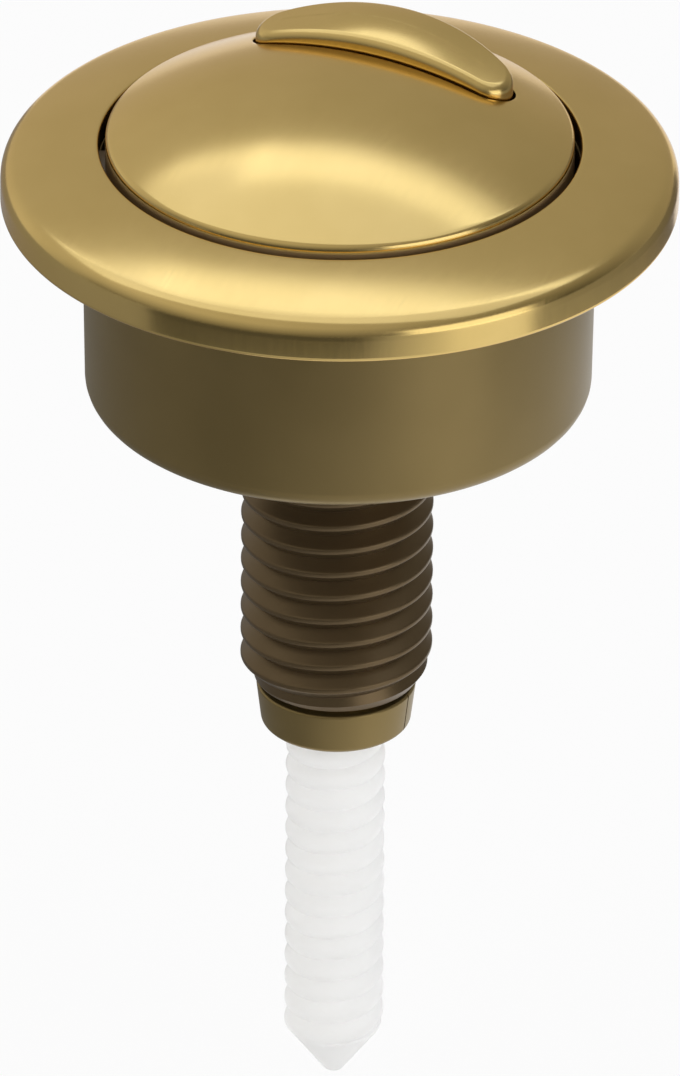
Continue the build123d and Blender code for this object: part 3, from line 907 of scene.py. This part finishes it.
# %% Stack the small button
HALF_WALL = 1.5
HALF_EDGE_ROUND = 0.9
EDGE_SWEEP = radians(76)
EDGE_STEPS = 7
HALF_ROUGHNESS = 0.2, 0.26
DRAW_SHARES = (0, 0.06, 0.13, 0.21, 0.3, 0.4, 0.51, 0.63, 0.76, 0.88, 0.995)
half_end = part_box("half_flush_button")[0].z / MM
half_rings = [drawn_in(-HALF_WALL, share, HALF_WALL) for share in reversed(DRAW_SHARES)]
half_rings.append([(x, y, half_end) for x, y in half_moon(-HALF_WALL)])
half_rings.append([(x, y, half_end) for x, y in half_moon(0)])
for step in range(EDGE_STEPS):
    angle = EDGE_SWEEP * step / (EDGE_STEPS - 1)
    inset, below = HALF_EDGE_ROUND * (1 - cos(angle)), HALF_EDGE_ROUND * (1 - sin(angle))
    half_rings.append(drawn_in(-inset, 0, below))
half_rings += [drawn_in(-inset, share, below) for share in DRAW_SHARES[1:]]
half_mesh = stacked_mesh("half_moon_cap", half_rings)
half_brass = satin_brass("half_brass", *HALF_ROUGHNESS)
smooth_object("half_moon_cap", half_mesh, half_brass, "small_button", "half_flush_button", sharp=40)
print("small button:", len(half_rings), "rings of", len(half_rings[0]), "points")

# %% [markdown]
# ## The cup
#
# The cup, its flange and the shank are one moulding. The outline runs up the shank's core, round the
# cup's drafted wall to the flange, and back down inside to the ring that centres the large spring. Three
# grooves in the bore, cut as blocks, let the button's lugs slide.

# %% Draw the cup
SHANK_RADIUS = 10.0
SHANK_DEPTH = 1.2
SHANK_BORE = 7.0
SHANK_END_RADIUS = 8.5
CORE_GAP = 0.05  # between the core and the roots of the thread
CUP_DEPTH = 22.3
CUP_DRAFT = tan(radians(1.0))
CUP_BORE = 24.8
CUP_RADIUS = 26.6
CUP_ROUND = 2.2
CUP_FLOOR = -20.3
FLANGE_STEP = 0.9  # height of the flange's undercut for the snap bead
SPRING_RING = 13.4
SPRING_RING_WALL = 1.2
SPRING_RING_HEIGHT = 1.5
shank_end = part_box("housing")[0].z / MM
flange_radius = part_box("housing")[1].x / MM
cup_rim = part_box("housing")[1].z / MM
core_radius = SHANK_RADIUS - SHANK_DEPTH - CORE_GAP
cup_outline = rounded([
    (SHANK_BORE, shank_end, FINE_ROUND),
    (SHANK_END_RADIUS, shank_end, 0),
    (core_radius, shank_end + 1, 0),
    (core_radius, -CUP_DEPTH, 0.3),
    (CUP_RADIUS - CUP_DEPTH * CUP_DRAFT, -CUP_DEPTH, CUP_ROUND),
    (CUP_RADIUS, 0, 0),
    (flange_radius - SNAP_BITE, 0, FINE_ROUND),
    (flange_radius - SNAP_BITE, FLANGE_STEP, 0),
    (flange_radius, FLANGE_STEP, FINE_ROUND),
    (flange_radius, FLANGE_TOP, FINE_ROUND),
    (CUP_RADIUS, FLANGE_TOP, FINE_ROUND),
    (CUP_RADIUS, cup_rim, FINE_ROUND),
    (CUP_BORE, cup_rim, FINE_ROUND),
    (CUP_BORE + CUP_FLOOR * CUP_DRAFT, CUP_FLOOR, 0.8),
    (SPRING_RING + SPRING_RING_WALL, CUP_FLOOR, 0),
    (SPRING_RING + SPRING_RING_WALL, CUP_FLOOR + SPRING_RING_HEIGHT, FINE_ROUND),
    (SPRING_RING, CUP_FLOOR + SPRING_RING_HEIGHT, FINE_ROUND),
    (SPRING_RING, CUP_FLOOR, 0),
    (SHANK_BORE, CUP_FLOOR, FINE_ROUND),
])
print("cup:", round(2 * CUP_RADIUS, 1), "mm across,", len(cup_outline), "points in its outline")

# %% Turn the cup and cut its grooves
GROOVE_START = 20
GROOVE_REACH = 25.6
GROOVE_WIDTH = 8.5
GROOVE_END = -6.3
grooves = []
for angle in LUG_ANGLES:
    grooves.append(wedge("groove", GROOVE_START, GROOVE_REACH, GROOVE_WIDTH, GROOVE_END, cup_rim + 1, angle))
cup_mesh = cut_mesh(turned_mesh("cup", cup_outline), grooves)
print("grooves in the cup's bore:", len(grooves))

# %% [markdown]
# ## The threaded shank
#
# The shank carries a coarse moulded thread. A thread could be a texture, yet its crests make the
# scalloped edge that shows in the picture. It is built as one long strip that climbs round the axis: each
# column of the strip is one cross-section of the thread, and neighbouring turns share their edges.
# Wherever the strip would stick out of the end's lead-in cone, the cone wins. Each crest is soft and each
# root is sharp: the crest mirrors the white floor and draws a pale line, and the flanks stay dark.

# %% Helpers for threads
THREAD_STEPS = 96  # columns in one turn
THREAD_WELD = 0.004 * MM


def whole_profile(half):
    """Profile of a thread from crest to crest, out of the half from a crest to a root."""
    return half + [(1 - share, sunk) for share, sunk in reversed(half[:-1])]


def thread_mesh(name, profile, crest_radius, depth, pitch, low, high, front_crest, limit):
    """Right-hand thread between two heights, as a climbing strip, all in millimetres.

    The profile lists (share of the pitch, share of the depth) across one turn. A crest faces the camera
    at the height front_crest, and limit gives the largest radius that is allowed at each height.
    """
    strip = bmesh.new()
    front = atan2(to_front.y, to_front.x)
    first_turn = int((low - front_crest) / pitch) - 2
    last_turn = int((high - front_crest) / pitch) + 2
    columns = []
    for column in range((last_turn - first_turn) * THREAD_STEPS + 1):
        turn = first_turn + column / THREAD_STEPS
        angle = front + 2 * pi * turn
        points = []
        for share, sunk in profile:
            height = min(max(front_crest + pitch * (turn + share), low), high)
            radius = min(crest_radius - depth * sunk, limit(height))
            points.append(strip.verts.new(Vector((radius * cos(angle), radius * sin(angle), height)) * MM))
        columns.append(points)
    for before, after in zip(columns, columns[1:]):
        for row in range(len(profile) - 1):
            strip.faces.new((before[row], after[row], after[row + 1], before[row + 1]))
    bmesh.ops.remove_doubles(strip, verts=strip.verts, dist=THREAD_WELD)
    bmesh.ops.dissolve_degenerate(strip, edges=strip.edges, dist=THREAD_WELD)
    return finished_mesh(name, strip)


# %% Cut the shank's thread
SHANK_PITCH = 2.77
SHANK_CREST = -41.65  # height of a crest on the camera's side
LEAD_IN_HEIGHT = 2.2


def shank_limit(height):
    """Cone of the lead-in at the end of the shank."""
    share = min((height - shank_end) / LEAD_IN_HEIGHT, 1)
    return SHANK_END_RADIUS + (SHANK_RADIUS - SHANK_END_RADIUS) * share


shank_half = [(0, 0), (0.05, 0.004), (0.08, 0.025), (0.11, 0.07), (0.14, 0.14), (0.5, 1)]
thread = thread_mesh(
    "shank_thread", whole_profile(shank_half), SHANK_RADIUS, SHANK_DEPTH, SHANK_PITCH,
    shank_end, -CUP_DEPTH + 1, SHANK_CREST, shank_limit,
)
housing_mesh = joined_mesh("threaded_housing", [cup_mesh, thread])
# painted shade on the shank, below the cup
shaded_bronze = bronze_moulding("shaded_bronze", shadow_below=-CUP_DEPTH * MM)
smooth_object(
    "threaded_housing", housing_mesh, shaded_bronze, "housing_body", "housing", sharp=28
)
print("shank:", round((-CUP_DEPTH - shank_end) / SHANK_PITCH, 1), "turns,", len(thread.polygons), "faces")

# %% [markdown]
# ## Collar and push rod
#
# The collar is a small tapered ring, turned like the cup, and a hair-thin seam runs down it where the
# halves of its mould met. The rod below it is white nylon with a soft thread that runs on into its blunt
# point, so the same climbing strip makes it, this time with round ridges that meet in sharp valleys, and
# the cone of the point as its limit.

# %% Make the collar
COLLAR_RADIUS = 8.35
COLLAR_TAPER = tan(radians(7))
COLLAR_SOCKET = 6.8
COLLAR_BORE = 5.3
SOCKET_END = -59.9
SEAM_ANGLE = radians(1.4)
SEAM_WIDTH = 0.2
SEAM_DEPTH = 0.16
SEAM_OVERRUN = 0.1
collar_low, collar_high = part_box("collar")
collar_top, collar_end = collar_high.z / MM, collar_low.z / MM
collar_end_radius = COLLAR_RADIUS - (collar_top - collar_end) * COLLAR_TAPER
collar_mesh = turned_mesh("tapered_collar", rounded([
    (COLLAR_SOCKET, collar_top, 0.15),
    (COLLAR_RADIUS, collar_top, 0.3),
    (collar_end_radius, collar_end, 0.7),
    (COLLAR_BORE, collar_end, FINE_ROUND),
    (COLLAR_BORE, SOCKET_END, 0),
    (COLLAR_SOCKET, SOCKET_END, 0),
]))
seam_outline = [
    (COLLAR_RADIUS - SEAM_DEPTH, collar_top + SEAM_OVERRUN),
    (collar_end_radius - SEAM_DEPTH, collar_end - SEAM_OVERRUN),
    (COLLAR_RADIUS + 1, collar_end - SEAM_OVERRUN),
    (COLLAR_RADIUS + 1, collar_top + SEAM_OVERRUN),
]
collar_mesh = cut_mesh(collar_mesh, [radial_plate("seam", seam_outline, SEAM_WIDTH, SEAM_ANGLE)])
smooth_object("tapered_collar", collar_mesh, bronze, "small_button", "collar")
print("collar:", round(2 * COLLAR_RADIUS, 1), "mm across the top")

# %% Make the rod
ROD_PITCH = 2.56
ROD_DEPTH = 0.55
ROD_CREST = -73.96  # height of a crest on the camera's side
POINT_ANGLE = radians(36)
POINT_ROUND = 1.5
RIDGE_STEPS = 7
rod_low, rod_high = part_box("push_rod")
rod_radius = rod_high.x / MM
rod_end, rod_top = rod_low.z / MM, rod_high.z / MM


def rod_limit(height):
    """Largest radius of the rod at a height, from its blunt point to its flat top."""
    above = height - rod_end
    if height >= rod_top:
        return 0.0
    if above < POINT_ROUND * (1 - sin(POINT_ANGLE)):
        return sqrt(max(POINT_ROUND**2 - (POINT_ROUND - above) ** 2, 0))
    return min((above + POINT_ROUND * (1 / sin(POINT_ANGLE) - 1)) * tan(POINT_ANGLE), rod_radius)


half_ridge = [(step / RIDGE_STEPS / 2, (step / RIDGE_STEPS) ** 2) for step in range(RIDGE_STEPS + 1)]
rod_mesh = thread_mesh(
    "threaded_rod", whole_profile(half_ridge), rod_radius, ROD_DEPTH, ROD_PITCH,
    rod_end, rod_top, ROD_CREST, rod_limit,
)
smooth_object("threaded_rod", rod_mesh, nylon, "rod", "push_rod", sharp=60)
print("rod:", round(rod_top - rod_end, 1), "mm long,", len(rod_mesh.polygons), "faces")

# %% [markdown]
# ## Springs
#
# Two coil springs return the buttons. The CAD springs are made of short straight lengths, so here each
# becomes a true helix of round wire.

# %% Wind the springs
WIRE_SIDES = 12
COIL_STEPS = 40


def wound_spring(node, wire, turns, body):
    """Round wire wound between the ends of a CAD spring."""
    low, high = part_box(node)
    coil_radius = high.x / MM - wire / 2
    bottom, top = low.z / MM, high.z / MM
    loops = []
    for step in range(turns * COIL_STEPS + 1):
        turn = 2 * pi * step / COIL_STEPS
        height = bottom + wire / 2 + (top - bottom - wire) * step / (turns * COIL_STEPS)
        loop = []
        for side in range(WIRE_SIDES):
            angle = 2 * pi * side / WIRE_SIDES
            radius = coil_radius + wire / 2 * cos(angle)
            loop.append((radius * cos(turn), radius * sin(turn), height + wire / 2 * sin(angle)))
        loops.append(loop)
    mesh = stacked_mesh(node + "_wire", loops)
    spring = smooth_object(node + "_wire", mesh, steel, body, node, sharp=50)
    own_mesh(spring)


wound_spring("main_spring", wire=1.2, turns=5, body="housing_body")
wound_spring("plunger_spring", wire=0.9, turns=5, body="large_button")

# %% [markdown]
# ## The screw and the other pieces inside
#
# The screw that holds the small button's arm is a plain pin in the CAD model. Here it gets its thread,
# from the same strip as the shank, and a cross recess in its head, which is two small blocks cut out of
# it. The carrier, the arm and the plunger keep their CAD shapes and only take a finish.

# %% Turn the screw and cut its cross
SCREW_RADIUS = 1.5
SCREW_THREAD = 0.22
SCREW_CORE_GAP = 0.02  # between the core and the roots of the thread
SCREW_HEAD_HEIGHT = 1.8
RECESS_WIDTH = 0.7
RECESS_LENGTH = 3.2
RECESS_DEPTH = 1.1
screw_low, screw_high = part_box("arm_screw")
screw_end, screw_top = screw_low.z / MM, screw_high.z / MM
head_radius = screw_high.x / MM
head_base = screw_top - SCREW_HEAD_HEIGHT
screw_core = SCREW_RADIUS - SCREW_THREAD - SCREW_CORE_GAP
screw_body = turned_mesh("screw", rounded([
    (0, screw_top, 0),
    (head_radius, screw_top, 0.7),
    (head_radius, head_base, 0.15),
    (screw_core, head_base, 0),
    (screw_core, screw_end, 0.3),
    (0, screw_end, 0),
]), SMALL_TURN_STEPS)
recess_outline = [
    (-RECESS_LENGTH / 2, screw_top + 1),
    (RECESS_LENGTH / 2, screw_top + 1),
    (RECESS_LENGTH / 4, screw_top - RECESS_DEPTH),
    (-RECESS_LENGTH / 4, screw_top - RECESS_DEPTH),
]
recess = [radial_plate("recess", recess_outline, RECESS_WIDTH, angle) for angle in (pi / 4, 3 * pi / 4)]
screw_body = cut_mesh(screw_body, recess)
print("screw:", round(screw_top - screw_end, 1), "mm long with its head")

# %% Cut the screw's thread
SCREW_PITCH = 0.7


def screw_limit(height):
    """Cone of the lead-in at the end of the screw."""
    return min(SCREW_RADIUS, screw_core + (height - screw_end))


screw_profile = [(0, 0), (0.08, 0), (0.42, 1), (0.58, 1), (0.92, 0), (1, 0)]
screw_thread = thread_mesh(
    "screw_thread", screw_profile, SCREW_RADIUS, SCREW_THREAD, SCREW_PITCH,
    screw_end, head_base, head_base, screw_limit,
)
screw_mesh = joined_mesh("cross_screw", [screw_body, screw_thread])
smooth_object("cross_screw", screw_mesh, steel, "small_button", "arm_screw")
print("screw thread:", len(screw_thread.polygons), "faces")

# %% Finish the other pieces inside
for node, finish in (("full_flush_carrier", grey), ("half_flush_arm", grey), ("plunger", bronze)):
    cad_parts[node].material_slots[0].material = finish
print("pieces inside: carrier, arm and plunger keep their CAD shapes")
